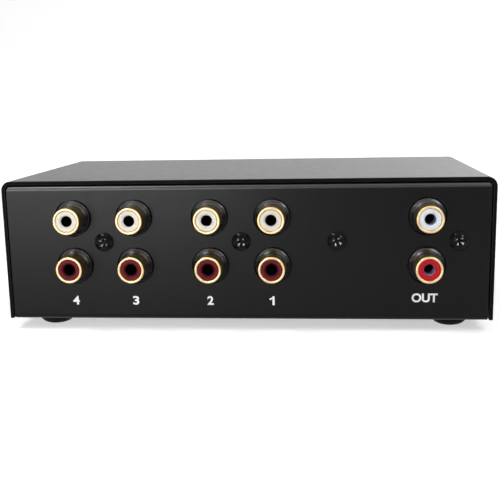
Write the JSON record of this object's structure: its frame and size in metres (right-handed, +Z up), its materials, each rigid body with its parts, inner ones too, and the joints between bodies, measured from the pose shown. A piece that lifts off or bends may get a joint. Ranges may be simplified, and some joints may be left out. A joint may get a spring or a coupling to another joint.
{
  "type": "audio source selector",
  "caption": "Low black steel box with phono sockets across its back and a rotary knob on its front that picks which stereo input feeds the output.",
  "frame": {"origin": "on the table, below the middle of the overall box", "axes": "+Z up, -Y out of the socket panel, +Y out of the knob, +X along the width"},
  "size_m": [0.1568, 0.1032, 0.0484],
  "materials": {
    "case_paint": "satin black powder coat",
    "black_screw": "black oxide",
    "gold_plate": "gold plated, polished",
    "zinc_plate": "zinc plated",
    "shaft_metal": "turned",
    "tin_plate": "tin plated",
    "spring_bronze": "phosphor bronze",
    "input_white": "cream moulded",
    "input_red": "dark red moulded",
    "output_white": "white moulded",
    "output_red": "red moulded",
    "black_plastic": "moulded",
    "switch_plastic": "moulded",
    "board": "green solder mask",
    "foot_rubber": "moulded rubber",
    "knob_plastic": "moulded, fluted",
    "pointer_white": "inlay"
  },
  "bodies": {
    "case": {"board_bracket": "zinc_plate", "board_header": "black_plastic", "board_screws": "zinc_plate", "bracket_fastener": "zinc_plate", "bushing_nut": "zinc_plate", "chassis_tray": "case_paint", "cover_screws": "black_screw", "detent_spring": "spring_bronze", "foot_front_left": "foot_rubber", "foot_front_right": "foot_rubber", "foot_rear_left": "foot_rubber", "foot_rear_right": "foot_rubber", "header_pins": "tin_plate", "input_1_red_insulator": "input_red", "input_1_red_shell": "gold_plate", "input_1_white_insulator": "input_white", "input_1_white_shell": "gold_plate", "input_2_red_insulator": "input_red", "input_2_red_shell": "gold_plate", "input_2_white_insulator": "input_white", "input_2_white_shell": "gold_plate", "input_3_red_insulator": "input_red", "input_3_red_shell": "gold_plate", "input_3_white_insulator": "input_white", "input_3_white_shell": "gold_plate", "input_4_red_insulator": "input_red", "input_4_red_shell": "gold_plate", "input_4_white_insulator": "input_white", "input_4_white_shell": "gold_plate", "left_input_block": "black_plastic", "left_input_contacts": "tin_plate", "left_input_ground_plate": "tin_plate", "lock_washer": "zinc_plate", "main_board": "board", "output_block": "black_plastic", "output_contacts": "tin_plate", "output_ground_plate": "tin_plate", "output_red_insulator": "output_red", "output_red_shell": "gold_plate", "output_white_insulator": "output_white", "output_white_shell": "gold_plate", "press_nuts": "zinc_plate", "rear_screws": "black_screw", "right_input_block": "black_plastic", "right_input_contacts": "tin_plate", "right_input_ground_plate": "tin_plate", "spacers": "zinc_plate", "switch_board": "board", "switch_contacts": "tin_plate", "switch_cup": "switch_plastic", "switch_plate": "zinc_plate", "top_cover": "case_paint"},
    "selector": {"selector_knob": "knob_plastic", "knob_pointer": "pointer_white", "knob_set_screw": "black_screw", "switch_shaft": "shaft_metal", "retaining_ring": "zinc_plate", "switch_rotor": "switch_plastic", "switch_wipers": "spring_bronze"}
  },
  "joints": [
    {"name": "selector_turn", "type": "hinge", "parent": "case", "child": "selector", "pos_m": [0, 0.0358, 0.02631], "axis": [0, -1, 0], "range_deg": [0, 90], "deforming": ["detent_spring"]}
  ]
}
